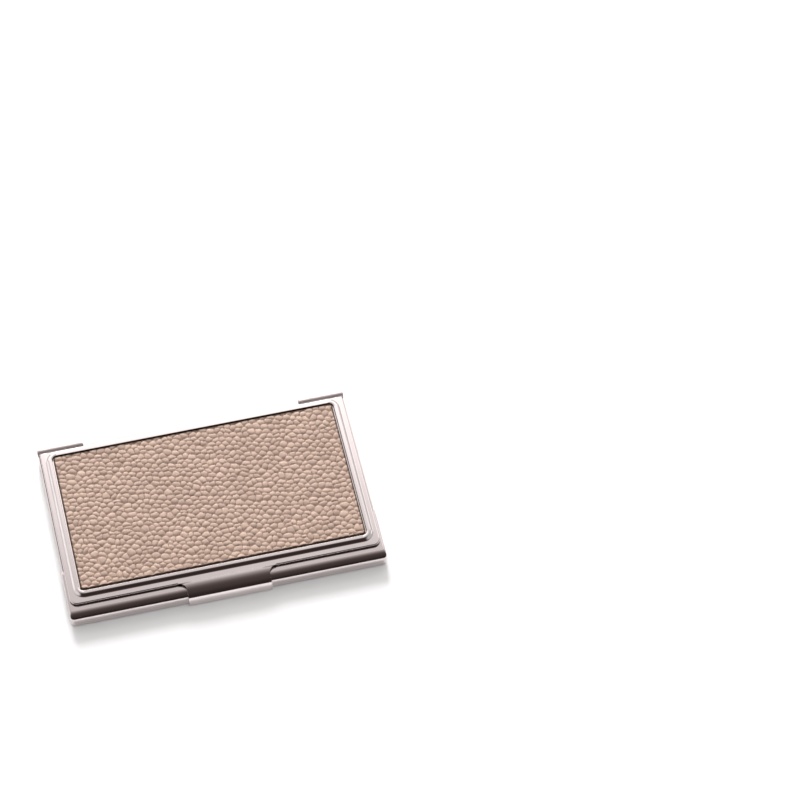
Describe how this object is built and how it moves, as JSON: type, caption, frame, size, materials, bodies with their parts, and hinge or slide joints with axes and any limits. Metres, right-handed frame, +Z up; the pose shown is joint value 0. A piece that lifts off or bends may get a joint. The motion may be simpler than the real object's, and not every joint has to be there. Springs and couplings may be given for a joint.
{
  "type": "business card case",
  "caption": "Flat polished steel case for business cards, with a card pocket and a hinged, latching lid that carries a pebbled leather panel.",
  "frame": {"origin": "centre of the closed case's footprint, on the surface that it lies on", "axes": "+X across the width, +Y from the latch towards the hinge, +Z up through the lid"},
  "size_m": [0.095, 0.0606, 0.0072],
  "materials": {
    "polished_steel": "polished",
    "pocket_steel": "satin, almost polished",
    "textured_steel": "embossed with small bumps",
    "pin_steel": "drawn wire",
    "adhesive_film": "thin film",
    "board": "plain",
    "leather": "pebbled grain, soft sheen"
  },
  "bodies": {
    "base": {"base_tray": "polished_steel", "pocket_plate": "pocket_steel", "liner_adhesive": "adhesive_film", "liner_plate": "textured_steel", "hinge_pin": "pin_steel"},
    "lid": {"lid_frame": "polished_steel", "leather_adhesive": "adhesive_film", "leather_backing": "board", "leather_panel": "leather"},
    "latch": {"latch_tab": "polished_steel"}
  },
  "joints": [
    {"name": "lid_hinge", "type": "hinge", "parent": "base", "child": "lid", "pos_m": [0, 0.0292, 0.0051], "axis": [-1, 0, 0], "range_deg": [0, 183]},
    {"name": "latch_flex", "type": "hinge", "parent": "lid", "child": "latch", "pos_m": [0, -0.0254, 0.0062], "axis": [-1, 0, 0], "range_deg": [0, 5], "stiffness_Nm_per_rad": 0.6}
  ]
}
